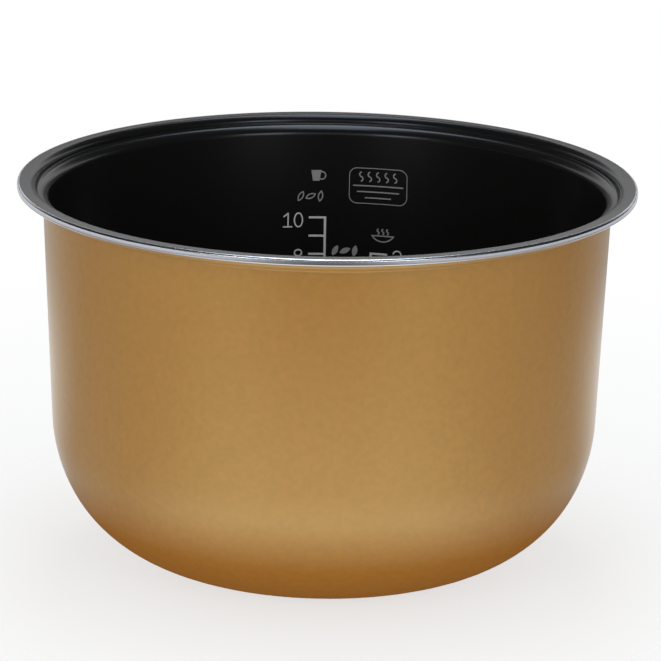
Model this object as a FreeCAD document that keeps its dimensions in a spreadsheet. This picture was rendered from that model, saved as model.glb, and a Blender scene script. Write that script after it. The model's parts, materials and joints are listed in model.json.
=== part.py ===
"""Inner cooking pot of a rice cooker: a drawn aluminium pan, its coats and its printed water scales.

Millimetres, +Z up. The origin is the centre of the base, on the surface that the pot stands on. The printed
scales are on the inside of the wall at +Y, so that they face a cook who stands at -Y.
"""
import FreeCAD, Part
import math
import os
import Sketcher

# Driving dimensions. Bend radii are those of the inside of the bend, and angles are in degrees.
SIZES = {
    # the drawn sheet and what is bonded to it
    "core_thickness": 2.4,
    "lining_thickness": 0.25,
    "coat_thickness": 0.15,
    "ink_thickness": 0.15,
    # the pan's outside
    "rim_diameter": 248.0,
    "pot_height": 155.0,
    "wall_taper": 2.3,
    "upper_corner_radius": 65.0,
    "lower_corner_radius": 56.0,
    "corner_blend_angle": 28.0,
    "rest_ring_width": 13.4,
    "dish_rise": 0.8,
    # the rim: shoulder, ledge, step, flange and rounded edge
    "shoulder_bend": 1.42,
    "ledge_width": 0.5,
    "step_rise": 3.6,
    "step_low_bend": 0.6,
    "step_high_bend": 0.25,
    "flange_land": 3.8,
    "edge_round": 0.9,
    # lines of the printed scales
    "rail_width": 0.95,
    "tick_thickness": 0.85,
    "tick_length": 6.5,
    "rice_rail_place": -1.0,
    "rice_top_drop": 43.2,
    "rice_pitch": 8.0,
    "brown_top_drop": 67.5,
    "brown_pitch": 8.6,
    "congee_rail_place": 18.8,
    "congee_top_drop": 58.3,
    "congee_pitch": 19.6,
    # numbers
    "number_height": 6.5,
    "number_width": 4.0,
    "number_stroke": 0.55,
    "number_spacing": 0.6,
    "number_clearance": 2.4,
    "number_drop": 1.1,
    # pictures in the places of the scale names, and the framed badge
    "picture_stroke": 0.5,
    "grain_length": 5.0,
    "grain_width": 2.3,
    "grain_spacing": 4.2,
    "rice_picture_drop": 33.9,
    "brown_picture_drop": 57.5,
    "cup_width": 6.2,
    "cup_height": 4.6,
    "cup_drop": 27.2,
    "bowl_width": 10.0,
    "bowl_depth": 3.0,
    "steam_height": 2.2,
    "congee_picture_drop": 50.1,
    "badge_place": 9.0,
    "badge_drop": 36.6,
    "badge_width": 24.8,
    "badge_height": 15.6,
    "badge_corner": 3.4,
    "badge_stroke": 0.3,
}

# Values that follow from the driving dimensions, in the order in which they build on each other
LAYOUT = {
    "sheet": "sizes.coat_thickness + sizes.core_thickness + sizes.lining_thickness",
    "rim_radius": "sizes.rim_diameter / 2",
    "edge_round": "min(sizes.edge_round; 0.45 * sheet)",
    "flange_end": "rim_radius - edge_round",
    "step_reach": "sizes.step_low_bend + sizes.step_high_bend + sheet",
    "step_angle": "acos(1 - sizes.step_rise / step_reach)",
    "step_high_x": "flange_end - sizes.flange_land",
    "step_high_z": "sizes.pot_height - sheet - sizes.step_high_bend",
    "step_low_x": "step_high_x - step_reach * sin(step_angle)",
    "step_low_z": "sizes.pot_height - sizes.step_rise + sizes.step_low_bend",
    "shoulder_x": "step_low_x - sizes.ledge_width",
    "shoulder_z": "sizes.pot_height - sizes.step_rise - sheet - sizes.shoulder_bend",
    "corner_shift": "sizes.lower_corner_radius - sizes.upper_corner_radius",
    "upper_corner_z": "sizes.lower_corner_radius - corner_shift * sin(sizes.corner_blend_angle)",
    "wall_run": "(shoulder_z - upper_corner_z) * sin(sizes.wall_taper)",
    "wall_reach": "(sizes.upper_corner_radius + sizes.shoulder_bend + wall_run) / cos(sizes.wall_taper)",
    "upper_corner_x": "shoulder_x - wall_reach",
    "base_radius": "upper_corner_x - corner_shift * cos(sizes.corner_blend_angle)",
    "dish_edge": "base_radius - sizes.rest_ring_width",
    "dish_radius": "(dish_edge ^ 2 + sizes.dish_rise ^ 2) / (2 * sizes.dish_rise)",
}

# Depths under the gold face at which one layer of the sheet ends and the next begins
GOLD_FACE = "0"
CORE_OUTSIDE = "sizes.coat_thickness"
CORE_INSIDE = "sizes.coat_thickness + sizes.core_thickness"
BLACK_FACE = "layout.sheet"
INK_FACE = "layout.sheet + sizes.ink_thickness"

# Corners of the sheet's section, from the axis to the rim
CORNERS = (
    "axis", "dish_edge", "base", "corner_blend", "wall_foot", "wall_top",
    "ledge", "step_foot", "step_rise", "flange", "flange_end",
)

# Cups at the ticks of each scale, from the top down; the congee scale counts half cups
RICE_CUPS = range(10, 2, -1)
BROWN_CUPS = range(6, 1, -1)
CONGEE_HALF_CUPS = range(4, 1, -1)

# Shapes of the pictures: leans in degrees, places and swing as shares of the picture
GRAIN_LEANS = (62, 24, 80)
STEAM_PLACES = (0.3, 0.5, 0.7)
WAVE_SWING = 0.18
BADGE_WAVES = 5
BADGE_LAYERS = 2


def add_sheet(doc, name, cells):
    """Adds a spreadsheet with one aliased cell for each entry."""
    sheet = doc.addObject("Spreadsheet::Sheet", name)
    for row, (alias, content) in enumerate(cells.items(), start=1):
        sheet.set(f"A{row}", alias)
        sheet.set(f"B{row}", content)
        sheet.setAlias(f"B{row}", alias)
    doc.recompute()


def value(doc, expression):
    """Gives an expression's value as a plain number."""
    return float(doc.getObject("sizes").evalExpression(expression))


def polar(centre, radius, across, up):
    """Gives the point at a radius from a centre, in the direction of two factors."""
    return f"{centre[0]} + ({radius}) * ({across})", f"{centre[1]} + ({radius}) * ({up})"


def profile(depth):
    """Gives the section's corners at a depth under the gold face, from the axis to the rim.

    Each corner is (x, z, centre), where centre is that of the arc that leads to it, or None after a straight
    stretch. All depths share their arc centres, so the sheet has one thickness everywhere.
    """
    taper_across, taper_up = "cos(sizes.wall_taper)", "sin(sizes.wall_taper)"
    blend_across, blend_up = "cos(sizes.corner_blend_angle)", "sin(sizes.corner_blend_angle)"
    dish = ("0", "sizes.dish_rise - layout.dish_radius")
    lower = ("layout.base_radius", "sizes.lower_corner_radius")
    upper = ("layout.upper_corner_x", "layout.upper_corner_z")
    shoulder = ("layout.shoulder_x", "layout.shoulder_z")
    low = ("layout.step_low_x", "layout.step_low_z")
    high = ("layout.step_high_x", "layout.step_high_z")
    dish_radius = f"layout.dish_radius + {depth}"
    lower_radius = f"sizes.lower_corner_radius - ({depth})"
    upper_radius = f"sizes.upper_corner_radius - ({depth})"
    shoulder_radius = f"sizes.shoulder_bend + {depth}"
    low_radius = f"sizes.step_low_bend + layout.sheet - ({depth})"
    high_radius = f"sizes.step_high_bend + {depth}"
    ring_x = f"sqrt(sizes.dish_rise * (2 * ({dish_radius}) - sizes.dish_rise))"
    flange_z = f"{high[1]} + {high_radius}"
    return [
        ("0", f"sizes.dish_rise + {depth}", None),
        (ring_x, depth, dish),
        (lower[0], depth, None),
        (*polar(lower, lower_radius, blend_across, f"-{blend_up}"), lower),
        (*polar(upper, upper_radius, taper_across, f"-{taper_up}"), upper),
        (*polar(shoulder, shoulder_radius, f"-{taper_across}", taper_up), None),
        (*polar(shoulder, shoulder_radius, "0", "1"), shoulder),
        (*polar(low, low_radius, "0", "-1"), None),
        (*polar(low, low_radius, "sin(layout.step_angle)", "-cos(layout.step_angle)"), low),
        (high[0], flange_z, high),
        ("layout.flange_end", flange_z, None),
    ]


def layer_outline(outside, inside, first, last, edge=()):
    """Gives the closed outline of a layer between two depths and two corners of the sheet.

    The corners in edge come between the two faces, at the rim.
    """
    span = slice(CORNERS.index(first), CORNERS.index(last) + 1)
    out = profile(outside)[span]
    back = profile(inside)[span]
    corners = [(*out[0][:2], None), *out[1:], *edge, (*back[-1][:2], None)]
    for (x, z, _), (_, _, centre) in zip(reversed(back[:-1]), reversed(back[1:])):
        corners.append((x, z, centre))
    return corners


def rim_edge():
    """Gives the corners of the bare edge, as tall as the whole sheet and rounded above and below."""
    bottom = "sizes.pot_height - layout.sheet"
    low = ("layout.flange_end", f"{bottom} + layout.edge_round")
    high = ("layout.flange_end", "sizes.pot_height - layout.edge_round")
    return [
        ("layout.flange_end", bottom, None),
        ("layout.rim_radius", low[1], low),
        ("layout.rim_radius", high[1], None),
        ("layout.flange_end", "sizes.pot_height", high),
    ]


def arc_between(start, end, centre):
    """Gives a sketch arc shorter than half a turn, and the numbers of its first and last point."""
    begin, finish = start - centre, end - centre
    anticlockwise = begin.cross(finish).z > 0
    if not anticlockwise:
        begin, finish = finish, begin
    angle = math.atan2(begin.y, begin.x)
    sweep = begin.getAngle(finish)
    circle = Part.Circle(centre, FreeCAD.Vector(0, 0, 1), begin.Length)
    return Part.ArcOfCircle(circle, angle, angle + sweep), (1, 2) if anticlockwise else (2, 1)


def bind(sketch, constraint, expression):
    """Adds a constraint and ties its value to an expression."""
    index = sketch.addConstraint(constraint)
    sketch.setExpression(f"Constraints[{index}]", expression)


def draw_outline(doc, sketch, corners):
    """Draws a closed outline whose every corner and arc is bound to the sheets.

    An arc is held by one coordinate of its centre, which keeps it on its side of its chord at any size.
    """
    def point(x, z):
        return FreeCAD.Vector(value(doc, x), value(doc, z), 0)

    points = [point(x, z) for x, z, _ in corners]
    ends = []
    for index, (_, _, centre) in enumerate(corners):
        start, end = points[index - 1], points[index]
        geometry, numbers = Part.LineSegment(start, end), (1, 2)
        if centre is not None:
            geometry, numbers = arc_between(start, end, point(*centre))
        sketch.addGeometry(geometry)
        ends.append(numbers)
    for index, (x, z, centre) in enumerate(corners):
        following = (index + 1) % len(corners)
        last, first = ends[index][1], ends[following][0]
        sketch.addConstraint(Sketcher.Constraint("Coincident", index, last, following, first))
        bind(sketch, Sketcher.Constraint("DistanceX", -1, 1, index, last, points[index].x), x)
        bind(sketch, Sketcher.Constraint("DistanceY", -1, 1, index, last, points[index].y), z)
        if centre is None:
            continue
        chord = points[index] - points[index - 1]
        middle = point(*centre)
        if abs(chord.x) > abs(chord.y):
            bind(sketch, Sketcher.Constraint("DistanceY", -1, 1, index, 3, middle.y), centre[1])
        else:
            bind(sketch, Sketcher.Constraint("DistanceX", -1, 1, index, 3, middle.x), centre[0])


def turned_layer(doc, label, corners):
    """Makes a body by turning an outline about the pot's axis."""
    body = doc.addObject("PartDesign::Body", label)
    sketch = body.newObject("Sketcher::SketchObject", f"{label}_section")
    planes = {plane.Role: plane for plane in body.Origin.OriginFeatures}
    sketch.AttachmentSupport = [(planes["XZ_Plane"], "")]
    sketch.MapMode = "FlatFace"
    draw_outline(doc, sketch, corners)
    turn = body.newObject("PartDesign::Revolution", f"{label}_turn")
    turn.Profile = sketch
    turn.ReferenceAxis = (sketch, ["V_Axis"])
    turn.Angle = 360
    return body


def printed(doc, label, ink, stencil):
    """Makes printed marks: what a stencil, pushed along +Y, leaves of the ink on the wall."""
    mark = doc.addObject("Part::Common", label)
    mark.Base = ink
    mark.Tool = stencil
    return mark


def bar(doc, name, left, low, wide, tall):
    """Adds an upright bar of a stencil, from the pot's middle to its rim."""
    box = doc.addObject("Part::Box", name)
    box.setExpression("Length", wide)
    box.setExpression("Width", "layout.rim_radius")
    box.setExpression("Height", tall)
    box.setExpression("Placement.Base.x", left)
    box.setExpression("Placement.Base.z", low)
    return box


def tick_height(scale, step):
    """Gives the height of a scale's tick that is a number of steps under its top one."""
    return f"sizes.pot_height - sizes.{scale}_top_drop - {step} * sizes.{scale}_pitch"


def scale_lines(doc, scale, place, side, count, with_rail=True):
    """Makes the stencil of a scale's ticks, from one side of its rail outwards, and of the rail."""
    bars = []
    left = f"{place} + sizes.rail_width / 2"
    if side < 0:
        left = f"{place} - sizes.rail_width / 2 - sizes.tick_length"
    for step in range(count):
        low = f"{tick_height(scale, step)} - sizes.tick_thickness / 2"
        name = f"{scale}_tick_{step + 1}"
        bars.append(bar(doc, name, left, low, "sizes.tick_length", "sizes.tick_thickness"))
    if with_rail:
        foot = f"{tick_height(scale, count - 1)} - sizes.tick_thickness / 2"
        tall = f"{count - 1} * sizes.{scale}_pitch + sizes.tick_thickness"
        edge = f"{place} - sizes.rail_width / 2"
        bars.append(bar(doc, f"{scale}_rail", edge, foot, "sizes.rail_width", tall))
    stencil = doc.addObject("Part::MultiFuse", f"{scale}_lines")
    stencil.Shapes = bars
    return stencil


def at(x, z):
    """Gives a point of a flat drawing in the XZ plane."""
    return FreeCAD.Vector(x, 0, z)


def path(*points):
    """Gives straight edges through points."""
    return [Part.LineSegment(a, b).toShape() for a, b in zip(points, points[1:])]


def arc(start, middle, end):
    """Gives one arc edge through three points."""
    return [Part.Arc(start, middle, end).toShape()]


def filled(edges):
    """Gives the face inside closed edges."""
    return Part.Face(Part.Wire(edges))


def outlined(edges, stroke):
    """Gives the band inside closed edges, as wide as a stroke."""
    inner = Part.Wire(edges).makeOffset2D(-stroke)
    return filled(edges).cut(Part.Face(inner))


def pen(edges, stroke):
    """Gives the face that a round pen leaves along open edges that are not all in one line."""
    return Part.Wire(edges).makeOffset2D(stroke / 2, fill=True)


def plank(left, low, wide, tall):
    """Gives an upright rectangle."""
    corners = at(left, low), at(left + wide, low), at(left + wide, low + tall), at(left, low + tall)
    return filled(path(*corners, corners[0]))


def ring(centre, half_width, half_height, stroke):
    """Gives an oval ring, with a stroke's width inside its outline."""
    faces = []
    for inset in (0, stroke):
        wide, tall = half_width - inset, half_height - inset
        major, minor = (at(0, tall), at(wide, 0)) if tall > wide else (at(wide, 0), at(0, tall))
        faces.append(filled([Part.Ellipse(centre + major, centre + minor, centre).toShape()]))
    return faces[0].cut(faces[1])


def digit(figure, left, low, wide, tall, stroke):
    """Gives the faces of one figure, drawn with a pen inside a box."""
    def spot(across, up):
        return at(left + stroke / 2 + across * (wide - stroke), low + stroke / 2 + up * (tall - stroke))

    middle = left + wide / 2
    if figure == "0":
        return [ring(at(middle, low + tall / 2), wide / 2, tall / 2, stroke)]
    if figure == "1":
        stem = path(spot(0.05, 0.76), spot(0.55, 1), spot(0.55, 0))
        return [pen(stem, stroke), plank(left, low, wide, stroke)]
    if figure == "2":
        bow = arc(spot(0, 0.8), spot(0.5, 1), spot(0.93, 0.66))
        return [pen(bow + path(spot(0.93, 0.66), spot(0, 0), spot(1, 0)), stroke)]
    if figure == "4":
        stem = plank(left + 0.75 * (wide - stroke), low, stroke, tall)
        return [pen(path(spot(0.75, 0.95), spot(0, 0.3), spot(1, 0.3)), stroke), stem]
    if figure == "6":
        tail = arc(spot(0.86, 1), spot(0.2, 0.72), spot(0, 0.3))
        return [ring(at(middle, low + 0.31 * tall), wide / 2, 0.31 * tall, stroke), pen(tail, stroke)]
    upper = ring(at(middle, low + 0.75 * tall), 0.45 * wide, 0.25 * tall, stroke)
    lower = ring(at(middle, low + 0.29 * tall), wide / 2, 0.29 * tall, stroke)
    return [upper, lower]


def pushed(doc, name, faces):
    """Makes a stencil by pushing flat faces from the pot's middle to its rim."""
    reach = FreeCAD.Vector(0, value(doc, "layout.rim_radius"), 0)
    prisms = [face.extrude(reach) for face in faces]
    stencil = doc.addObject("Part::Feature", name)
    stencil.Shape = prisms[0].multiFuse(prisms[1:])
    return stencil


def scale_numbers(doc, scale, place, side, labels):
    """Makes the stencil of a scale's numbers; labels are (step, text) pairs."""
    sizes = doc.getObject("sizes")
    wide, tall, stroke = sizes.number_width, sizes.number_height, sizes.number_stroke
    pitch = wide + sizes.number_spacing
    near = value(doc, place) + side * (sizes.rail_width / 2 + sizes.tick_length + sizes.number_clearance)
    faces = []
    for step, text in labels:
        low = value(doc, tick_height(scale, step)) - sizes.number_drop - tall / 2
        left = near if side > 0 else near - len(text) * pitch + sizes.number_spacing
        for count, figure in enumerate(text):
            faces += digit(figure, left + count * pitch, low, wide, tall, stroke)
    return pushed(doc, f"{scale}_figures", faces)


def grains(left, middle, sizes):
    """Gives the outlines of three grains of rice in a row, each of two arcs that meet in its tips."""
    outlines = []
    for count, lean in enumerate(GRAIN_LEANS):
        centre = at(left + (count + 0.5) * sizes.grain_spacing, middle)
        turn = math.radians(lean)
        along = at(math.cos(turn), math.sin(turn)) * (sizes.grain_length / 2)
        across = at(-math.sin(turn), math.cos(turn)) * (sizes.grain_width / 2)
        upper = arc(centre - along, centre + across, centre + along)
        outlines.append(upper + arc(centre + along, centre - across, centre - along))
    return outlines


def rice_picture(doc):
    """Makes the stencil of open grains, left of the rice rail's line."""
    sizes = doc.getObject("sizes")
    left = sizes.rice_rail_place - len(GRAIN_LEANS) * sizes.grain_spacing
    middle = sizes.pot_height - sizes.rice_picture_drop
    outlines = grains(left, middle, sizes)
    return pushed(doc, "rice_grains", [outlined(edges, sizes.picture_stroke) for edges in outlines])


def brown_picture(doc):
    """Makes the stencil of solid grains, right of the rice rail."""
    sizes = doc.getObject("sizes")
    left = sizes.rice_rail_place + sizes.number_clearance
    middle = sizes.pot_height - sizes.brown_picture_drop
    return pushed(doc, "brown_grains", [filled(edges) for edges in grains(left, middle, sizes)])


def cup_picture(doc):
    """Makes the stencil of a solid measuring cup with a handle, over the rice rail's line."""
    sizes = doc.getObject("sizes")
    left = sizes.rice_rail_place - sizes.cup_width
    low = sizes.pot_height - sizes.cup_drop

    def spot(across, up):
        return at(left + across * sizes.cup_width, low + up * sizes.cup_height)

    beaker = path(spot(0, 1), spot(0.12, 0), spot(0.58, 0), spot(0.7, 1), spot(0, 1))
    handle = arc(spot(0.66, 0.85), spot(1, 0.5), spot(0.6, 0.2))
    return pushed(doc, "cup", [filled(beaker), pen(handle, sizes.picture_stroke)])


def congee_picture(doc):
    """Makes the stencil of a steaming bowl, over the congee rail."""
    sizes = doc.getObject("sizes")
    left = sizes.congee_rail_place
    brim = sizes.pot_height - sizes.congee_picture_drop
    right, middle = left + sizes.bowl_width, left + sizes.bowl_width / 2
    bowl = arc(at(left, brim), at(middle, brim - sizes.bowl_depth), at(right, brim))
    faces = [outlined(bowl + path(at(right, brim), at(left, brim)), sizes.picture_stroke)]
    for place in STEAM_PLACES:
        foot = at(left + place * sizes.bowl_width, brim + sizes.picture_stroke)
        faces.append(pen(wave(foot, sizes.steam_height), sizes.picture_stroke))
    return pushed(doc, "congee_bowl", faces)


def wave(foot, tall):
    """Gives an upright wavy line of two arcs."""
    swing = WAVE_SWING * tall
    half = foot + at(0, tall / 2)
    top = foot + at(0, tall)
    lower = arc(foot, foot + at(swing, tall / 4), half)
    return lower + arc(half, half + at(-swing, tall / 4), top)


def badge(doc):
    """Makes the stencil of a rounded frame with a bar across it, waves above the bar and layers under it."""
    sizes = doc.getObject("sizes")
    left, low = sizes.badge_place, sizes.pot_height - sizes.badge_drop
    wide, tall, stroke = sizes.badge_width, sizes.badge_height, sizes.picture_stroke
    faces = [outlined(rounded_box(left, low, wide, tall, sizes.badge_corner), sizes.badge_stroke)]
    inset = sizes.badge_corner / 2
    bar_low = low + tall / 2 - stroke / 2
    faces.append(plank(left + inset, bar_low, wide - 2 * inset, stroke))
    pitch = (wide - 2 * sizes.badge_corner) / BADGE_WAVES
    wave_tall = tall / 2 - 2 * inset - stroke
    for count in range(BADGE_WAVES):
        foot = at(left + sizes.badge_corner + (count + 0.5) * pitch, bar_low + stroke + inset)
        faces.append(pen(wave(foot, wave_tall), stroke))
    gap = tall / 2 / (BADGE_LAYERS + 1)
    for count in range(1, BADGE_LAYERS + 1):
        shrink = count * sizes.badge_corner
        faces.append(plank(left + shrink, bar_low - count * gap, wide - 2 * shrink, stroke))
    return pushed(doc, "badge_lines", faces)


def rounded_box(left, low, wide, tall, corner):
    """Gives the closed edges of an upright rectangle with round corners."""
    slack = corner * (1 - math.sqrt(0.5))
    right, top = left + wide, low + tall
    edges = path(at(left + corner, low), at(right - corner, low))
    edges += arc(at(right - corner, low), at(right - slack, low + slack), at(right, low + corner))
    edges += path(at(right, low + corner), at(right, top - corner))
    edges += arc(at(right, top - corner), at(right - slack, top - slack), at(right - corner, top))
    edges += path(at(right - corner, top), at(left + corner, top))
    edges += arc(at(left + corner, top), at(left + slack, top - slack), at(left, top - corner))
    edges += path(at(left, top - corner), at(left, low + corner))
    return edges + arc(at(left, low + corner), at(left + slack, low + slack), at(left + corner, low))


def add_layers(doc):
    """Adds the pan, whose rim begins where its wall ends, and the coats that are bonded to both."""
    rim = layer_outline(CORE_OUTSIDE, CORE_INSIDE, "wall_top", "flange_end", rim_edge())
    return [
        turned_layer(doc, "pan_core", layer_outline(CORE_OUTSIDE, CORE_INSIDE, "axis", "wall_top")),
        turned_layer(doc, "rim_flange", rim),
        turned_layer(doc, "nonstick_lining", layer_outline(CORE_INSIDE, BLACK_FACE, "axis", "flange_end")),
        turned_layer(doc, "wall_coat", layer_outline(GOLD_FACE, CORE_OUTSIDE, "base", "flange_end")),
        turned_layer(doc, "base_coat", layer_outline(GOLD_FACE, CORE_OUTSIDE, "axis", "base")),
    ]


def add_print(doc):
    """Adds the scales, their numbers and the pictures, as ink on the lining's wall."""
    ink = turned_layer(doc, "ink_film", layer_outline(BLACK_FACE, INK_FACE, "base", "wall_top"))
    doc.recompute()
    rice, congee = "sizes.rice_rail_place", "sizes.congee_rail_place"
    stencils = {
        "rice_scale": scale_lines(doc, "rice", rice, -1, len(RICE_CUPS)),
        "rice_numbers": scale_numbers(doc, "rice", rice, -1, numbered(RICE_CUPS, 2)),
        "brown_rice_scale": scale_lines(doc, "brown", rice, 1, len(BROWN_CUPS), with_rail=False),
        "brown_rice_numbers": scale_numbers(doc, "brown", rice, 1, numbered(BROWN_CUPS, 2)),
        "congee_scale": scale_lines(doc, "congee", congee, 1, len(CONGEE_HALF_CUPS)),
        "congee_numbers": scale_numbers(doc, "congee", congee, 1, numbered(CONGEE_HALF_CUPS, 2, 2)),
        "cup_mark": cup_picture(doc),
        "rice_mark": rice_picture(doc),
        "brown_rice_mark": brown_picture(doc),
        "congee_mark": congee_picture(doc),
        "badge_frame": badge(doc),
    }
    return [printed(doc, label, ink, stencil) for label, stencil in stencils.items()]


def numbered(counts, unit, share=1):
    """Gives the (step, text) pairs of the counts that are a multiple of a unit, each divided by a share."""
    return [(step, str(count // share)) for step, count in enumerate(counts) if count % unit == 0]


def check(doc, nodes):
    """Stops if an object failed, or if a node has no sound solid."""
    failed = [item.Label for item in doc.Objects if {"Invalid", "Error"} & set(item.State)]
    if failed:
        raise RuntimeError(f"not built: {failed}")
    for node in nodes:
        if node.Shape.isNull() or not node.Shape.isValid() or not node.Shape.Solids:
            raise RuntimeError(f"{node.Label} has no sound solid")


def main():
    """Builds the pot and writes each node to its own file."""
    doc = FreeCAD.newDocument("inner_pot")
    add_sheet(doc, "sizes", {alias: str(number) for alias, number in SIZES.items()})
    add_sheet(doc, "layout", {alias: f"={formula}" for alias, formula in LAYOUT.items()})
    nodes = add_layers(doc) + add_print(doc)
    doc.recompute()
    check(doc, nodes)
    os.makedirs("parts", exist_ok=True)
    for node in nodes:
        node.Shape.exportStep(f"parts/{node.Label}.step")
        print(node.Label, len(node.Shape.Solids), "solids", round(node.Shape.Volume, 1), "mm3")


main()
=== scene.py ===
"""Dresses the inner cooking pot of a rice cooker: drawn pan, black lining, gold coat, bare rim and print.

Metres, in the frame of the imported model: +Z up, the origin under the middle of the base, the print at +Y.
"""
import json
import logging
import math
from collections.abc import Sequence
from dataclasses import dataclass
from enum import Enum

import bmesh
import bpy
from mathutils import Matrix, Vector


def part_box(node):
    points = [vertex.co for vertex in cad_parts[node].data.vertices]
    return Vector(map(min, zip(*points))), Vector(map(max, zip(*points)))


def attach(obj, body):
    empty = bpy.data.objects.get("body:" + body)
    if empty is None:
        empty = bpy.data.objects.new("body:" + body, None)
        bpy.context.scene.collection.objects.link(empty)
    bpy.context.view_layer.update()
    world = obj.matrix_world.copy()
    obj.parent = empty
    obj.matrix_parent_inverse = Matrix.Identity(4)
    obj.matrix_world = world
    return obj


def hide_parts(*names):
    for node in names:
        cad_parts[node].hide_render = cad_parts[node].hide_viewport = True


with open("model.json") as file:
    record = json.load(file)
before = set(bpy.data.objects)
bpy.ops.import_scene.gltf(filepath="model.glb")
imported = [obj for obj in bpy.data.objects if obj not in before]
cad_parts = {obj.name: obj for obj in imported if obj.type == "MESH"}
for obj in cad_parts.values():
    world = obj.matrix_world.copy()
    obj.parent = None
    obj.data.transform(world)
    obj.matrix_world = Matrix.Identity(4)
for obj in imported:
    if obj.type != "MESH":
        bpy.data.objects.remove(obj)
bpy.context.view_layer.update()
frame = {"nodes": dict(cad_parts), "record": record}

LOG = logging.getLogger("inner_pot")
BODY = "root"
MM = 0.001
MICRON = 0.000001
SAME_POINT = 0.1 * MICRON
ROUNDING = 1e-6
QUARTER = math.pi / 2
ALWAYS_SMOOTH = math.pi
CARD_SEGMENTS = 96
WHITE = (1.0, 1.0, 1.0, 1.0)

Point = tuple[float, float]
Span = tuple[float, float]
Colour = tuple[float, float, float]
Socket = bpy.types.NodeSocket
Value = Socket | float | Sequence[float]


class Slot(Enum):
    """Finishes that the record names."""

    BARE_METAL = "bare_metal"
    BLACK_LINING = "black_lining"
    GOLD_COAT = "gold_coat"
    INK = "ink"


class Place(Enum):
    """Places along the sheet where one layer or piece ends and the next begins."""

    AXIS = 0
    BASE = 1
    WALL_TOP = 2
    FLANGE_END = 3


class Detail(Enum):
    """How many finer layers the blotches of a texture have."""

    FEW = 1.0
    SOME = 2.0
    MANY = 3.0


def angles(start: float, end: float) -> Span:
    """Gives two angles that are written in degrees."""
    return math.radians(start), math.radians(end)


def share(value: float, start: float, end: float) -> float:
    """Gives how far a value has gone from start to end, from 0 to 1."""
    return max(0.0, min(1.0, (value - start) / (end - start)))


class Nodes:
    """A node tree, with short ways to add nodes and join them."""

    def __init__(self, tree: bpy.types.NodeTree) -> None:
        """Empties the tree.

        Args:
            tree: the tree.
        """
        self.tree = tree
        self.tree.nodes.clear()

    def add(self, kind: str, **settings: object) -> bpy.types.Node:
        """Adds a node.

        Args:
            kind: the node's type.
            settings: values of the node's own properties.

        Returns:
            The node.
        """
        node = self.tree.nodes.new(kind)
        for key, value in settings.items():
            setattr(node, key, value)
        return node

    def feed(self, target: Socket, value: Value) -> None:
        """Joins an output to an input, or sets the input to a plain value.

        Args:
            target: the input.
            value: the output, or the plain value.
        """
        if isinstance(value, Socket):
            self.tree.links.new(value, target)
        else:
            target.default_value = value

    def math(self, operation: str, *values: Socket | float) -> Socket:
        """Adds a sum on numbers.

        Args:
            operation: the name of the sum.
            values: sockets or plain numbers.

        Returns:
            The result.
        """
        node = self.add("ShaderNodeMath", operation=operation)
        for target, value in zip(node.inputs, values):
            self.feed(target, value)
        return node.outputs["Value"]

    def mixed(self, factor: Socket, first: Socket, second: Socket) -> Socket:
        """Mixes two surfaces or backgrounds.

        Args:
            factor: the second one's part, from 0 to 1.
            first: one of them.
            second: the other.

        Returns:
            The mixture.
        """
        node = self.add("ShaderNodeMixShader")
        for target, value in zip(node.inputs, (factor, first, second)):
            self.feed(target, value)
        return node.outputs["Shader"]


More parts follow.
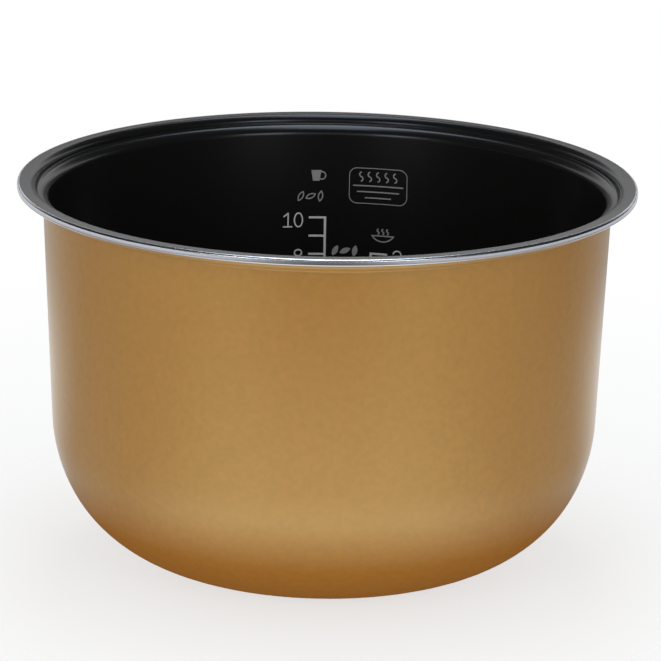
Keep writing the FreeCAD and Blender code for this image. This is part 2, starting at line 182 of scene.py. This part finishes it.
class Shader(Nodes):
    """A material's node tree."""

    def __init__(self, name: str) -> None:
        """Makes a material with an empty tree.

        Args:
            name: the material's name.
        """
        self.material = bpy.data.materials.new(name)
        self.material.use_nodes = True
        super().__init__(self.material.node_tree)

    def show(self, surface: Socket) -> bpy.types.Material:
        """Makes a surface the one that shows, and gives the material."""
        self.feed(self.add("ShaderNodeOutputMaterial").inputs["Surface"], surface)
        return self.material

    def principled(self, **values: Value) -> bpy.types.Material:
        """Adds a surface with the given values, and shows it.

        Args:
            values: outputs, numbers or colours for its inputs, with _ for a space in an input's name.

        Returns:
            The material.
        """
        surface = self.add("ShaderNodeBsdfPrincipled")
        for name, value in values.items():
            self.feed(surface.inputs[name.replace("_", " ")], value)
        return self.show(surface.outputs["BSDF"])

    def matt(self, colour: Colour) -> Socket:
        """Adds a plain matt surface.

        Args:
            colour: its colour.

        Returns:
            The surface.
        """
        node = self.add("ShaderNodeBsdfDiffuse")
        node.inputs["Color"].default_value = (*colour, 1)
        return node.outputs["BSDF"]

    def place(self) -> Socket:
        """Gives the place on the object, in metres."""
        return self.add("ShaderNodeTexCoord").outputs["Object"]

    def coordinates(self) -> tuple[Socket, ...]:
        """Takes the place on the object apart.

        Returns:
            Its x, y and z, and its reach, which is how far it is from the pot's axis.
        """
        split = self.add("ShaderNodeSeparateXYZ")
        self.feed(split.inputs["Vector"], self.place())
        x, y, z = split.outputs
        square = self.math("MULTIPLY_ADD", y, y, self.math("MULTIPLY", x, x))
        return x, y, z, self.math("SQRT", square)

    def round_axis(self) -> Socket:
        """Gives a place that is the same all round the pot's axis, where a texture makes rings.

        Returns:
            The place, with the reach as x and the height as y.
        """
        _, _, height, reach = self.coordinates()
        across = self.add("ShaderNodeCombineXYZ")
        self.feed(across.inputs["X"], reach)
        self.feed(across.inputs["Y"], height)
        return across.outputs["Vector"]

    def noise(self, grain: float, detail: Detail = Detail.SOME, where: Socket | None = None) -> Socket:
        """Adds soft random blotches.

        Args:
            grain: about how wide a blotch is.
            detail: how many finer layers the blotches have.
            where: the place that the blotches follow, or None for the place on the object.

        Returns:
            A number from 0 to 1.
        """
        texture = self.add("ShaderNodeTexNoise", noise_dimensions="3D")
        texture.inputs["Scale"].default_value = 1 / grain
        texture.inputs["Detail"].default_value = detail.value
        self.feed(texture.inputs["Vector"], where or self.place())
        return texture.outputs["Fac"]

    def spread(self, factor: Socket, low: float, high: float,
               start: float = 0.0, end: float = 1.0) -> Socket:
        """Maps a number from one range to another.

        Args:
            factor: the number.
            low: what start becomes.
            high: what end becomes.
            start: where the number's range begins.
            end: where it ends.

        Returns:
            The mapped number, kept between low and high.
        """
        node = self.add("ShaderNodeMapRange", clamp=True)
        ranges = {"Value": factor, "From Min": start, "From Max": end, "To Min": low, "To Max": high}
        for name, value in ranges.items():
            self.feed(node.inputs[name], value)
        return node.outputs["Result"]

    def blend(self, low: Socket, high: Socket, factor: Socket) -> Socket:
        """Gives a number between two others: low where the factor is 0, and high where it is 1."""
        return self.math("MULTIPLY_ADD", self.math("SUBTRACT", high, low), factor, low)

    def tinted(self, factor: Socket, first: Value, second: Value) -> Socket:
        """Mixes two colours.

        Args:
            factor: the second one's part, from 0 to 1.
            first: one of them.
            second: the other.

        Returns:
            The mixture.
        """
        node = self.add("ShaderNodeMix", data_type="RGBA")
        for name, value in {"Factor": factor, "A": first, "B": second}.items():
            self.feed(node.inputs[name], value)
        return node.outputs["Result"]

    def shaded(self, factor: Socket, colour: Colour, swing: float) -> Socket:
        """Makes a colour a little darker or lighter from place to place.

        Args:
            factor: a number from 0, darkest, to 1, lightest.
            colour: the colour in the middle.
            swing: the share by which it changes to either side.

        Returns:
            The colour.
        """
        dark = (*(channel * (1 - swing) for channel in colour), 1)
        light = (*(channel * (1 + swing) for channel in colour), 1)
        return self.tinted(factor, dark, light)

    def bump(self, height: Socket, depth: float, under: Socket | None = None) -> Socket:
        """Adds relief.

        Args:
            height: a number from 0 to 1.
            depth: how deep the relief is.
            under: relief that this one lies on, if any.

        Returns:
            The normal.
        """
        node = self.add("ShaderNodeBump")
        node.inputs["Distance"].default_value = depth
        self.feed(node.inputs["Height"], height)
        if under is not None:
            self.feed(node.inputs["Normal"], under)
        return node.outputs["Normal"]


@dataclass(frozen=True)
class MetallicPaint:
    """Satin gold paint: fine metal flake under a clear coat, sprayed, with a little orange peel.

    With a ring depth, its clouds are rings, as on metal that was turned flat before it was painted.
    """

    name: str = "satin_gold_paint"
    colour: Colour = (0.385, 0.154, 0.02)
    shine: Colour = (1.0, 0.97, 0.45)
    shine_index: float = 2.4
    cloud: float = 2.6 * MM
    cloud_swing: float = 0.18
    flake: float = 0.35 * MM
    flake_depth: float = 3 * MICRON
    roughness: Span = (0.3, 0.38)
    peel: float = 2.4 * MM
    peel_depth: float = 10 * MICRON
    coat: float = 0.6
    coat_roughness: float = 0.22
    coat_index: float = 1.5
    ring_depth: float = 0.0

    def material(self) -> bpy.types.Material:
        """Makes the paint.

        Returns:
            Its material.
        """
        shader = Shader(self.name)
        turned = self.ring_depth > 0
        cloud = shader.noise(self.cloud, where=shader.round_axis() if turned else None)
        flake = shader.noise(self.flake, Detail.FEW)
        peel = shader.bump(shader.noise(self.peel), self.peel_depth)
        if turned:
            peel = shader.bump(cloud, self.ring_depth, peel)
        return shader.principled(
            Base_Color=shader.shaded(cloud, self.colour, self.cloud_swing),
            Metallic=0.0,
            Roughness=shader.spread(flake, *self.roughness),
            IOR=self.shine_index,
            Normal=shader.bump(flake, self.flake_depth, peel),
            Specular_Tint=(*self.shine, 1),
            Coat_Weight=self.coat,
            Coat_Roughness=self.coat_roughness,
            Coat_IOR=self.coat_index,
            Coat_Normal=peel,
        )


@dataclass(frozen=True)
class NonstickLining:
    """Black sprayed non-stick lining, satin, with a fine grain."""

    colour: Colour = (0.0068, 0.0067, 0.0062)
    shine: Colour = (0.84, 0.87, 1.0)
    shine_index: float = 1.45
    grain: float = 0.5 * MM
    grain_swing: float = 0.25
    grain_depth: float = 1.5 * MICRON
    roughness: Span = (0.2, 0.27)
    peel: float = 3 * MM
    peel_depth: float = 5 * MICRON

    def material(self) -> bpy.types.Material:
        """Makes the lining.

        Returns:
            Its material.
        """
        shader = Shader("black_nonstick_lining")
        grain = shader.noise(self.grain, Detail.MANY)
        peel = shader.bump(shader.noise(self.peel), self.peel_depth)
        return shader.principled(
            Base_Color=shader.shaded(grain, self.colour, self.grain_swing),
            Metallic=0.0,
            Roughness=shader.spread(grain, *self.roughness),
            IOR=self.shine_index,
            Normal=shader.bump(grain, self.grain_depth, peel),
            Specular_Tint=(*self.shine, 1),
        )


@dataclass(frozen=True)
class TurnedMetal:
    """Bare aluminium, turned on a lathe, so that fine grooves run round the pot's axis."""

    colour: Colour = (0.84, 0.86, 0.92)
    colour_swing: float = 0.04
    groove: float = 0.09 * MM
    groove_depth: float = 0.2 * MICRON
    roughness: Span = (0.2, 0.26)
    anisotropy: float = 0.5

    def material(self) -> bpy.types.Material:
        """Makes the metal.

        Returns:
            Its material.
        """
        shader = Shader("turned_aluminium")
        grooves = shader.noise(self.groove, Detail.FEW, shader.round_axis())
        tangent = shader.add("ShaderNodeTangent", direction_type="RADIAL", axis="Z")
        return shader.principled(
            Base_Color=shader.shaded(grooves, self.colour, self.colour_swing),
            Metallic=1.0,
            Roughness=shader.spread(grooves, *self.roughness),
            Normal=shader.bump(grooves, self.groove_depth),
            Anisotropic=self.anisotropy,
            Tangent=tangent.outputs["Tangent"],
        )


@dataclass(frozen=True)
class PrintInk:
    """Light grey ink, screen printed and baked, matt and a little uneven."""

    name: str = "grey_ink"
    colour: Colour = (0.6, 0.6, 0.58)
    shine_index: float = 1.45
    grain: float = 0.4 * MM
    grain_swing: float = 0.1
    grain_depth: float = 6 * MICRON
    roughness: Span = (0.5, 0.65)

    def material(self) -> bpy.types.Material:
        """Makes the ink.

        Returns:
            Its material.
        """
        shader = Shader(self.name)
        grain = shader.noise(self.grain, Detail.MANY)
        return shader.principled(
            Base_Color=shader.shaded(grain, self.colour, self.grain_swing),
            Metallic=0.0,
            Roughness=shader.spread(grain, *self.roughness),
            IOR=self.shine_index,
            Normal=shader.bump(grain, self.grain_depth),
        )


def arc(centre: Point, radius: float, start: float, end: float, step: float) -> list[Point]:
    """Gives points along an arc.

    Args:
        centre: the arc's centre.
        radius: its radius.
        start: the angle of its first point.
        end: the angle of its last point.
        step: the most that the angle changes from point to point.

    Returns:
        The points, with both ends.
    """
    count = max(1, math.ceil(abs(end - start) / step - ROUNDING))
    turns = (start + (end - start) * number / count for number in range(count + 1))
    return [(centre[0] + radius * math.cos(turn), centre[1] + radius * math.sin(turn)) for turn in turns]


def without_repeats(points: Sequence[Point]) -> list[Point]:
    """Leaves out each point that repeats the one before.

    Args:
        points: the points of a line.

    Returns:
        The points that are left.
    """
    kept = [points[0]]
    for point in points[1:]:
        if math.dist(point, kept[-1]) > SAME_POINT:
            kept.append(point)
    return kept


def lathe(name: str, outline: Sequence[Point], segments: int, sharp: float,
          closed: bool = True) -> bpy.types.Object:
    """Turns an outline about the Z axis.

    Args:
        name: the object's name.
        outline: the outline's points, each a radius and a height, with the solid on their left.
        segments: how many steps a full turn has.
        sharp: the angle from which an edge stays sharp.
        closed: whether the outline comes back to its first point.

    Returns:
        The turned object.
    """
    mesh = bmesh.new()
    turns = [math.tau * number / segments for number in range(segments)]
    rings = []
    for radius, height in outline:
        if radius < MICRON:
            ring = [mesh.verts.new((0, 0, height))] * segments
        else:
            ring = [mesh.verts.new((radius * math.cos(a), radius * math.sin(a), height)) for a in turns]
        rings.append(ring)
    for ring, following in zip(rings, rings[1:] + (rings[:1] if closed else [])):
        for number in range(segments):
            after = (number + 1) % segments
            corners = [ring[number], ring[after], following[after], following[number]]
            corners = list(dict.fromkeys(corners))
            if len(corners) > 2:
                mesh.faces.new(corners)
    data = bpy.data.meshes.new(name)
    mesh.to_mesh(data)
    mesh.free()
    data.shade_smooth()
    data.set_sharp_from_angle(angle=sharp)
    turned = bpy.data.objects.new(name, data)
    bpy.context.scene.collection.objects.link(turned)
    return turned


@dataclass
class SheetSection:
    """The section of the drawn sheet, at any depth under its gold face.

    Bend radii are those of the inside of the bend. All depths share their arc centres, so the sheet has one
    thickness everywhere. The values named turn are the most that an arc turns from point to point.
    """

    rim_radius: float
    height: float
    sheet: float = 2.8 * MM
    taper: float = math.radians(2.3)
    upper_corner: float = 65 * MM
    lower_corner: float = 56 * MM
    corner_blend: float = math.radians(28)
    rest_ring: float = 13.4 * MM
    dish_rise: float = 0.8 * MM
    shoulder_bend: float = 1.42 * MM
    ledge: float = 0.5 * MM
    step_rise: float = 3.6 * MM
    step_low_bend: float = 0.6 * MM
    step_high_bend: float = 0.25 * MM
    flange_land: float = 3.8 * MM
    edge_round: float = 0.9 * MM
    dish_turn: float = math.radians(0.5)
    corner_turn: float = math.radians(3)
    rim_turn: float = math.radians(7.5)

    def __post_init__(self) -> None:
        """Works out the centres of the bends, from the rim inwards."""
        self.flange_end = self.rim_radius - self.edge_round
        reach = self.step_low_bend + self.step_high_bend + self.sheet
        self.step_angle = math.acos(1 - self.step_rise / reach)
        self.step_top: Point = (
            self.flange_end - self.flange_land,
            self.height - self.sheet - self.step_high_bend,
        )
        self.step_foot: Point = (
            self.step_top[0] - reach * math.sin(self.step_angle),
            self.height - self.step_rise + self.step_low_bend,
        )
        self.shoulder: Point = (
            self.step_foot[0] - self.ledge,
            self.height - self.step_rise - self.sheet - self.shoulder_bend,
        )
        shift = self.lower_corner - self.upper_corner
        upper_height = self.lower_corner - shift * math.sin(self.corner_blend)
        run = (self.shoulder[1] - upper_height) * math.sin(self.taper)
        wall = (self.upper_corner + self.shoulder_bend + run) / math.cos(self.taper)
        self.upper: Point = (self.shoulder[0] - wall, upper_height)
        self.lower: Point = (self.upper[0] - shift * math.cos(self.corner_blend), self.lower_corner)
        dish_edge = self.lower[0] - self.rest_ring
        self.dish_radius = (dish_edge ** 2 + self.dish_rise ** 2) / (2 * self.dish_rise)

    def face(self, depth: float, start: Place, end: Place) -> list[Point]:
        """Gives the line of the sheet at a depth.

        Args:
            depth: how far the line lies under the gold face.
            start: where the line begins.
            end: where it ends, further out.

        Returns:
            The line's points.
        """
        runs = [self.base_run(depth), self.wall_run(depth), self.rim_run(depth)]
        points = [point for run in runs[start.value:end.value] for point in run]
        return without_repeats(points)

    def base_run(self, depth: float) -> list[Point]:
        """Gives the line from the axis to the end of the flat ring that the pot stands on.

        Args:
            depth: how far the line lies under the gold face.

        Returns:
            The line's points.
        """
        radius = self.dish_radius + depth
        centre = (0.0, self.dish_rise - self.dish_radius)
        lean = math.acos((radius - self.dish_rise) / radius)
        dish = arc(centre, radius, QUARTER, QUARTER - lean, self.dish_turn)
        return dish + [(self.lower[0], depth)]

    def wall_run(self, depth: float) -> list[Point]:
        """Gives the line from the flat ring, round the corner and up the wall.

        Args:
            depth: how far the line lies under the gold face.

        Returns:
            The line's points.
        """
        low, high = self.lower_corner - depth, self.upper_corner - depth
        points = arc(self.lower, low, -QUARTER, -self.corner_blend, self.corner_turn)
        points += arc(self.upper, high, -self.corner_blend, -self.taper, self.corner_turn)
        return points + self.shoulder_arc(depth)[:1]

    def shoulder_arc(self, depth: float) -> list[Point]:
        """Gives the line of the bend from the wall to the ledge."""
        bend = self.shoulder_bend + depth
        return arc(self.shoulder, bend, math.pi - self.taper, QUARTER, self.rim_turn)

    def rim_run(self, depth: float) -> list[Point]:
        """Gives the line from the wall's top over the shoulder, the ledge and the step to the flange's end.

        Args:
            depth: how far the line lies under the gold face.

        Returns:
            The line's points.
        """
        foot = self.step_low_bend + self.sheet - depth
        top = self.step_high_bend + depth
        points = self.shoulder_arc(depth)
        points += arc(self.step_foot, foot, -QUARTER, self.step_angle - QUARTER, self.rim_turn)
        points += arc(self.step_top, top, QUARTER + self.step_angle, QUARTER, self.rim_turn)
        return points + [(self.flange_end, self.step_top[1] + top)]

    def bare_edge(self) -> list[Point]:
        """Gives the line of the rounded edge, as tall as the sheet.

        Returns:
            The line's points, from below upwards.
        """
        low = (self.flange_end, self.height - self.sheet + self.edge_round)
        high = (self.flange_end, self.height - self.edge_round)
        points = arc(low, self.edge_round, -QUARTER, 0, self.rim_turn)
        return points + arc(high, self.edge_round, 0, QUARTER, self.rim_turn)


def frame_slot(node: str) -> Slot:
    """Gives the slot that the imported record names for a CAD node."""
    return Slot(next(part["material_slot"] for part in frame["record"]["subparts"] if part["node"] == node))


@dataclass
class Pot:
    """The drawn pan, its bare rim and the coats that are bonded to them."""

    section: SheetSection
    coat: float = 0.15 * MM
    lining: float = 0.25 * MM
    segments: int = 288
    sharp: float = math.radians(40)
    metal: TurnedMetal = TurnedMetal()
    black: NonstickLining = NonstickLining()
    gold: MetallicPaint = MetallicPaint()
    base_gold: MetallicPaint = MetallicPaint(
        name="ringed_gold_paint", cloud=1.6 * MM, cloud_swing=0.4, ring_depth=25 * MICRON,
    )

    def build(self) -> list[bpy.types.Object]:
        """Builds and dresses every layer.

        Returns:
            The layers.
        """
        metal = self.metal.material()
        sheet = self.section.sheet
        coat = (0.0, self.coat)
        core = (self.coat, sheet - self.lining)
        lining = (sheet - self.lining, sheet)
        pan = (Place.AXIS, Place.WALL_TOP)
        rim = (Place.WALL_TOP, Place.FLANGE_END)
        inside = (Place.AXIS, Place.FLANGE_END)
        outside = (Place.BASE, Place.FLANGE_END)
        base = (Place.AXIS, Place.BASE)
        edge = self.section.bare_edge()
        return [
            self.layer("drawn_pan", "pan_core", core, pan, metal),
            self.layer("bare_rim", "rim_flange", core, rim, metal, edge),
            self.layer("black_lining", "nonstick_lining", lining, inside, self.black.material()),
            self.layer("gold_wall", "wall_coat", coat, outside, self.gold.material()),
            self.layer("gold_base", "base_coat", coat, base, self.base_gold.material()),
        ]

    def layer(self, name: str, node: str, depths: Span, ends: tuple[Place, Place],
              material: bpy.types.Material, edge: Sequence[Point] = ()) -> bpy.types.Object:
        """Turns one layer of the sheet.

        Args:
            name: the piece's name.
            node: the CAD node that it stands for.
            depths: the depths of its outer and inner faces.
            ends: where it begins and ends along the sheet.
            material: its finish.
            edge: points between the two faces, at the rim.

        Returns:
            The piece.
        """
        outer, inner = (self.section.face(depth, *ends) for depth in depths)
        outline = without_repeats([*outer, *edge, *reversed(inner)])
        piece = lathe(name, outline, self.segments, self.sharp)
        piece.data.materials.append(material)
        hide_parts(node)
        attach(piece, BODY)
        return piece


@dataclass
class Print:
    """The scales, numbers and pictures, which keep the shapes of their CAD nodes."""

    ink: PrintInk = PrintInk()
    thin_ink: PrintInk = PrintInk(name="thin_grey_ink", colour=(0.27, 0.27, 0.26))
    thin: tuple[str, ...] = ("cup_mark", "rice_mark", "brown_rice_mark", "congee_mark", "badge_frame")

    def build(self) -> list[bpy.types.Object]:
        """Dresses every printed node.

        Returns:
            The printed nodes.
        """
        full, thin = self.ink.material(), self.thin_ink.material()
        nodes = []
        for name, node in frame["nodes"].items():
            if frame_slot(name) is not Slot.INK:
                continue
            node.data.materials.clear()
            node.data.materials.append(thin if name in self.thin else full)
            nodes.append(node)
        return nodes


@dataclass(frozen=True)
class Stand:
    """A place round the pot for a lamp. Azimuth 0 is the camera's side, and angles are in degrees."""

    azimuth: float
    elevation: float
    distance: float

    def matrix(self, target: Vector) -> Matrix:
        """Gives the place, turned so that -Z points to the target.

        Args:
            target: the point that the lamp faces.

        Returns:
            The place and the turn.
        """
        turn, rise = math.radians(self.azimuth), math.radians(self.elevation)
        away = Vector((math.sin(turn) * math.cos(rise), -math.cos(turn) * math.cos(rise), math.sin(rise)))
        face = (-away).to_track_quat("-Z", "Y").to_matrix().to_4x4()
        return Matrix.Translation(target + away * self.distance) @ face


@dataclass(frozen=True)
class Softbox:
    """A soft lamp that faces the pot."""

    name: str
    stand: Stand
    width: float
    tall: float
    power: float
    colour: Colour = (1.0, 1.0, 1.0)

    def build(self, target: Vector) -> bpy.types.Object:
        """Makes the lamp.

        Args:
            target: the point that it faces.

        Returns:
            The lamp.
        """
        lamp = bpy.data.lights.new(self.name, "AREA")
        lamp.shape = "RECTANGLE"
        lamp.size, lamp.size_y = self.width, self.tall
        lamp.energy = self.power
        lamp.color = self.colour
        box = bpy.data.objects.new(self.name, lamp)
        box.matrix_world = self.stand.matrix(target)
        box.visible_camera = False
        bpy.context.scene.collection.objects.link(box)
        return box


def stage_card(name: str, outline: Sequence[Point], material: bpy.types.Material) -> bpy.types.Object:
    """Turns an outline into a smooth open card that belongs to the stage.

    Args:
        name: the card's name.
        outline: the outline's points, each a radius and a height.
        material: its finish.

    Returns:
        The card.
    """
    card = lathe(name, outline, CARD_SEGMENTS, ALWAYS_SMOOTH, closed=False)
    card.data.materials.append(material)
    return card


def only_in_shine(card: bpy.types.Object) -> None:
    """Hides a card from all but shiny surfaces."""
    card.visible_camera = card.visible_diffuse = card.visible_shadow = False


@dataclass
class Floor:
    """A pale floor that keeps the pot's shadow. It is open under the pot's base and seen from above only."""

    hole: float
    colour: Colour = (0.9, 0.9, 0.9)
    radius: float = 3.0
    fade: Span = (0.12, 0.45)
    least_fade: float = 0.68

    def build(self) -> bpy.types.Object:
        """Makes the floor."""
        return stage_card("floor", [(self.radius, 0.0), (self.hole, 0.0)], self.material())

    def material(self) -> bpy.types.Material:
        """Makes a finish that fades into the white surroundings away from the pot.

        Returns:
            The finish.
        """
        shader = Shader("pale_floor")
        reach = shader.add("ShaderNodeVectorMath", operation="LENGTH")
        shader.feed(reach.inputs[0], shader.place())
        fade = shader.spread(reach.outputs["Value"], self.least_fade, 1, *self.fade)
        under = shader.add("ShaderNodeNewGeometry").outputs["Backfacing"]
        gone = shader.math("MAXIMUM", fade, under)
        clear = shader.add("ShaderNodeBsdfTransparent").outputs["BSDF"]
        return shader.show(shader.mixed(gone, shader.matt(self.colour), clear))


@dataclass
class GlowingReflectionTable:
    """A glowing card like a table top just over the floor, which only shiny surfaces see; it is no lamp, and
    its greys are painted reflections on the pot, with painted shade where the pot stands.

    Its grey depends on the turn, which is the angle round the pot from the camera's side, and on the reach,
    which is the distance from the pot's axis. A pair named turn or fade says where a change of grey begins
    and ends, and the greys near, far and rim are pairs of one in front and one at the sides.
    """

    hole: float
    radius: float = 2.4
    rise: float = 0.5 * MM
    near: Span = (1.0, 0.4)
    far: Span = (0.16, 0.26)
    side_turn: Span = angles(30, 66)
    far_fade: Span = (0.16, 0.44)
    rim: Span = (0.12, 0.6)
    rim_turn: Span = angles(9, 32)
    rim_fade: Span = (0.56, 0.62)
    # painted dark in the reflections: in front of the pot, on its right and on its left
    dark_front: float = 0.15
    front_turn: Span = angles(12, 34)
    dark_right: float = 0.2
    right_turn: Span = angles(70, 95)
    dark_left: float = 0.08
    left_turn: Span = angles(-95, -70)
    dark_fade: Span = (0.35, 0.47)
    # painted light in the reflections behind the pot
    back: float = 0.9
    back_turn: Span = angles(106, 152)
    back_rest: float = 0.45
    back_fade: Span = (0.3, 0.5)
    # painted shade in the gold's colour near the pot: its contact shadow and the gold light it throws down
    painted_contact_shade_colour: Colour = (0.25, 0.095, 0.022)
    painted_contact_shade_fade: Span = (0.1, 0.15)

    def build(self) -> bpy.types.Object:
        """Makes the glowing card, whose greys are painted reflections on the pot.

        Returns:
            The glowing card.
        """
        outline = [(self.radius, self.rise), (self.hole, self.rise)]
        table = stage_card("glowing_reflection_table", outline, self.material())
        only_in_shine(table)
        return table

    def material(self) -> bpy.types.Material:
        """Makes the glow: grey painted reflections, and near the pot painted shade in the gold's colour, for
        the pot's contact shadow and the gold light it throws down.

        Returns:
            The finish.
        """
        shader = Shader("glowing_reflection_table")
        x, y, _, reach = shader.coordinates()
        side = shader.math("ARCTAN2", x, shader.math("MULTIPLY", y, -1.0))
        rim = shader.spread(shader.math("ABSOLUTE", side), *self.rim, *self.rim_turn)
        outer = shader.spread(reach, 0, 1, *self.rim_fade)
        grey = shader.blend(self.inner_grey(shader, side, reach), rim, outer)
        # painted shade near the pot, blended into the painted reflections
        painted_shade = shader.spread(reach, 0, 1, *self.painted_contact_shade_fade)
        # the card glows though it is no lamp; its glow is painted reflection on the pot
        glow = shader.add("ShaderNodeEmission")
        shader.feed(glow.inputs["Color"], shader.tinted(painted_shade, (*self.painted_contact_shade_colour, 1), grey))
        return shader.show(glow.outputs["Emission"])

    def inner_grey(self, shader: Shader, side: Socket, reach: Socket) -> Socket:
        """Gives the painted reflections' grey inside the card's rim, darker in front and at the sides and
        lighter behind.

        Args:
            shader: the table top's nodes.
            side: the turn, positive on the right and negative on the left.
            reach: the reach.

        Returns:
            The grey.
        """
        turn = shader.math("ABSOLUTE", side)
        near = shader.spread(turn, *self.near, *self.side_turn)
        far = shader.spread(turn, *self.far, *self.side_turn)
        plain = shader.blend(near, far, shader.spread(reach, 0, 1, *self.far_fade))
        front = shader.spread(turn, self.dark_front, 0, *self.front_turn)
        right = shader.spread(side, 0, self.dark_right, *self.right_turn)
        left = shader.spread(side, self.dark_left, 0, *self.left_turn)
        dark = shader.math("ADD", front, shader.math("ADD", right, left))
        dark = shader.math("MULTIPLY", dark, shader.spread(reach, 0, 1, *self.dark_fade))
        shown = shader.math("MAXIMUM", shader.math("SUBTRACT", plain, dark), 0.0)
        back = shader.spread(turn, 0, self.back, *self.back_turn)
        rest = shader.spread(reach, 1, self.back_rest, *self.back_fade)
        return shader.math("MULTIPLY_ADD", back, rest, shown)


@dataclass
class DarkCards:
    """A black band round the pot and a black dome over it, which only shiny surfaces see.

    The band is taller at the pot's sides, lower behind, and open below on the left and behind. Pairs of
    angles say where such a change begins and ends, counted from the camera's side. The dome's arc turns by
    dome_turn at most from point to point.
    """

    dome_height: float
    colour: Colour = (0.02, 0.02, 0.024)
    band_radius: float = 0.5
    band: Span = (0.1, 0.272)
    lift: float = 0.11
    lift_start: Span = angles(30, 45)
    lift_end: Span = angles(135, 115)
    drop: float = 0.014
    drop_turn: Span = angles(135, 150)
    gap: float = 0.08
    gap_left: Span = angles(-35, -55)
    gap_right: Span = angles(115, 130)
    dome_radius: float = 2.4
    dome_start: float = math.radians(24)
    dome_turn: float = math.radians(6)

    def build(self) -> list[bpy.types.Object]:
        """Makes both cards.

        Returns:
            The band and the dome.
        """
        shader = Shader("black_card")
        black = shader.show(shader.matt(self.colour))
        dome = arc((0, self.dome_height), self.dome_radius, self.dome_start, QUARTER, self.dome_turn)
        cards = [
            stage_card("dark_band", [(self.band_radius, height) for height in self.band], black),
            stage_card("dark_dome", dome, black),
        ]
        self.shape_band(cards[0])
        for card in cards:
            only_in_shine(card)
        return cards

    def shape_band(self, band: bpy.types.Object) -> None:
        """Moves the band's upper and lower edges to where they belong.

        Args:
            band: the band.
        """
        for vertex in band.data.vertices:
            side = math.atan2(vertex.co.x, -vertex.co.y)
            turn = abs(side)
            if vertex.co.z > sum(self.band) / 2:
                tall = min(share(turn, *self.lift_start), share(turn, *self.lift_end))
                vertex.co.z += self.lift * tall - self.drop * share(turn, *self.drop_turn)
            else:
                vertex.co.z += self.gap * max(share(side, *self.gap_left), share(side, *self.gap_right))


@dataclass
class Studio:
    """White surroundings, a pale floor, soft lamps, and cards that only shiny surfaces see."""

    target: Vector
    hole: float
    sky: float = 0.6
    shown_sky: float = 1.0
    lamps: tuple[Softbox, ...] = (
        Softbox(
            "left_softbox", Stand(azimuth=-33, elevation=14, distance=1.6),
            width=0.55, tall=0.9, power=6.1,
        ),
        Softbox(
            "right_softbox", Stand(azimuth=29, elevation=14, distance=1.6),
            width=0.55, tall=0.9, power=5.9,
        ),
        Softbox(
            "top_softbox", Stand(azimuth=180, elevation=76, distance=1.5),
            width=0.5, tall=1.7, power=9.0, colour=(0.84, 0.93, 1.0),
        ),
    )

    def build(self) -> None:
        """Makes the surroundings, the floor, the cards and the lamps."""
        bpy.context.scene.view_settings.view_transform = "Standard"
        self.world()
        Floor(self.hole).build()
        # a glowing card that only shiny surfaces see, which paints reflections on the pot
        GlowingReflectionTable(self.hole).build()
        DarkCards(self.target.z).build()
        for lamp in self.lamps:
            lamp.build(self.target)

    def world(self) -> None:
        """Makes surroundings that look white, and light the pot less than they show."""
        world = bpy.data.worlds.new("studio")
        bpy.context.scene.world = world
        world.use_nodes = True
        nodes = Nodes(world.node_tree)
        skies = []
        for strength in (self.sky, self.shown_sky):
            sky = nodes.add("ShaderNodeBackground")
            sky.inputs["Color"].default_value = WHITE
            sky.inputs["Strength"].default_value = strength
            skies.append(sky.outputs["Background"])
        rays = nodes.add("ShaderNodeLightPath").outputs
        mirrored = nodes.math("MAXIMUM", rays["Is Glossy Ray"], rays["Is Transmission Ray"])
        shown = nodes.math("MAXIMUM", rays["Is Camera Ray"], mirrored)
        nodes.feed(nodes.add("ShaderNodeOutputWorld").inputs["Surface"], nodes.mixed(shown, *skies))


@dataclass
class PhotoCamera:
    """The camera at the photograph's viewpoint.

    Its elevation and roll are in degrees, and its lens and sensor in millimetres.
    """

    aim: tuple[float, float, float] = (2.14 * MM, 0.0, 92.62 * MM)
    distance: float = 1.6976
    elevation: float = 15.86
    roll: float = 0.967
    lens: float = 228.74
    sensor: float = 36.0

    def build(self) -> bpy.types.Object:
        """Makes the scene's camera.

        Returns:
            The camera.
        """
        data = bpy.data.cameras.new("camera")
        data.lens, data.sensor_width = self.lens, self.sensor
        tilt = Matrix.Rotation(math.radians(90 - self.elevation), 4, "X")
        turn = tilt @ Matrix.Rotation(math.radians(self.roll), 4, "Z")
        back = turn @ Vector((0, 0, self.distance))
        camera = bpy.data.objects.new("camera", data)
        camera.matrix_world = Matrix.Translation(Vector(self.aim) + back) @ turn
        bpy.context.scene.collection.objects.link(camera)
        bpy.context.scene.camera = camera
        return camera


def main() -> None:
    """Builds the camera, the pot, its print and the studio."""
    logging.basicConfig(level=logging.INFO, format="%(name)s: %(message)s")
    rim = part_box("rim_flange")[1]
    section = SheetSection(rim_radius=rim.x, height=rim.z)
    PhotoCamera().build()
    for piece in Pot(section).build() + Print().build():
        LOG.info("%s: %d faces", piece.name, len(piece.data.polygons))
    Studio(target=Vector((0, 0, rim.z / 2)), hole=section.lower[0] - section.rest_ring / 2).build()


if __name__ == "__main__":
    main()
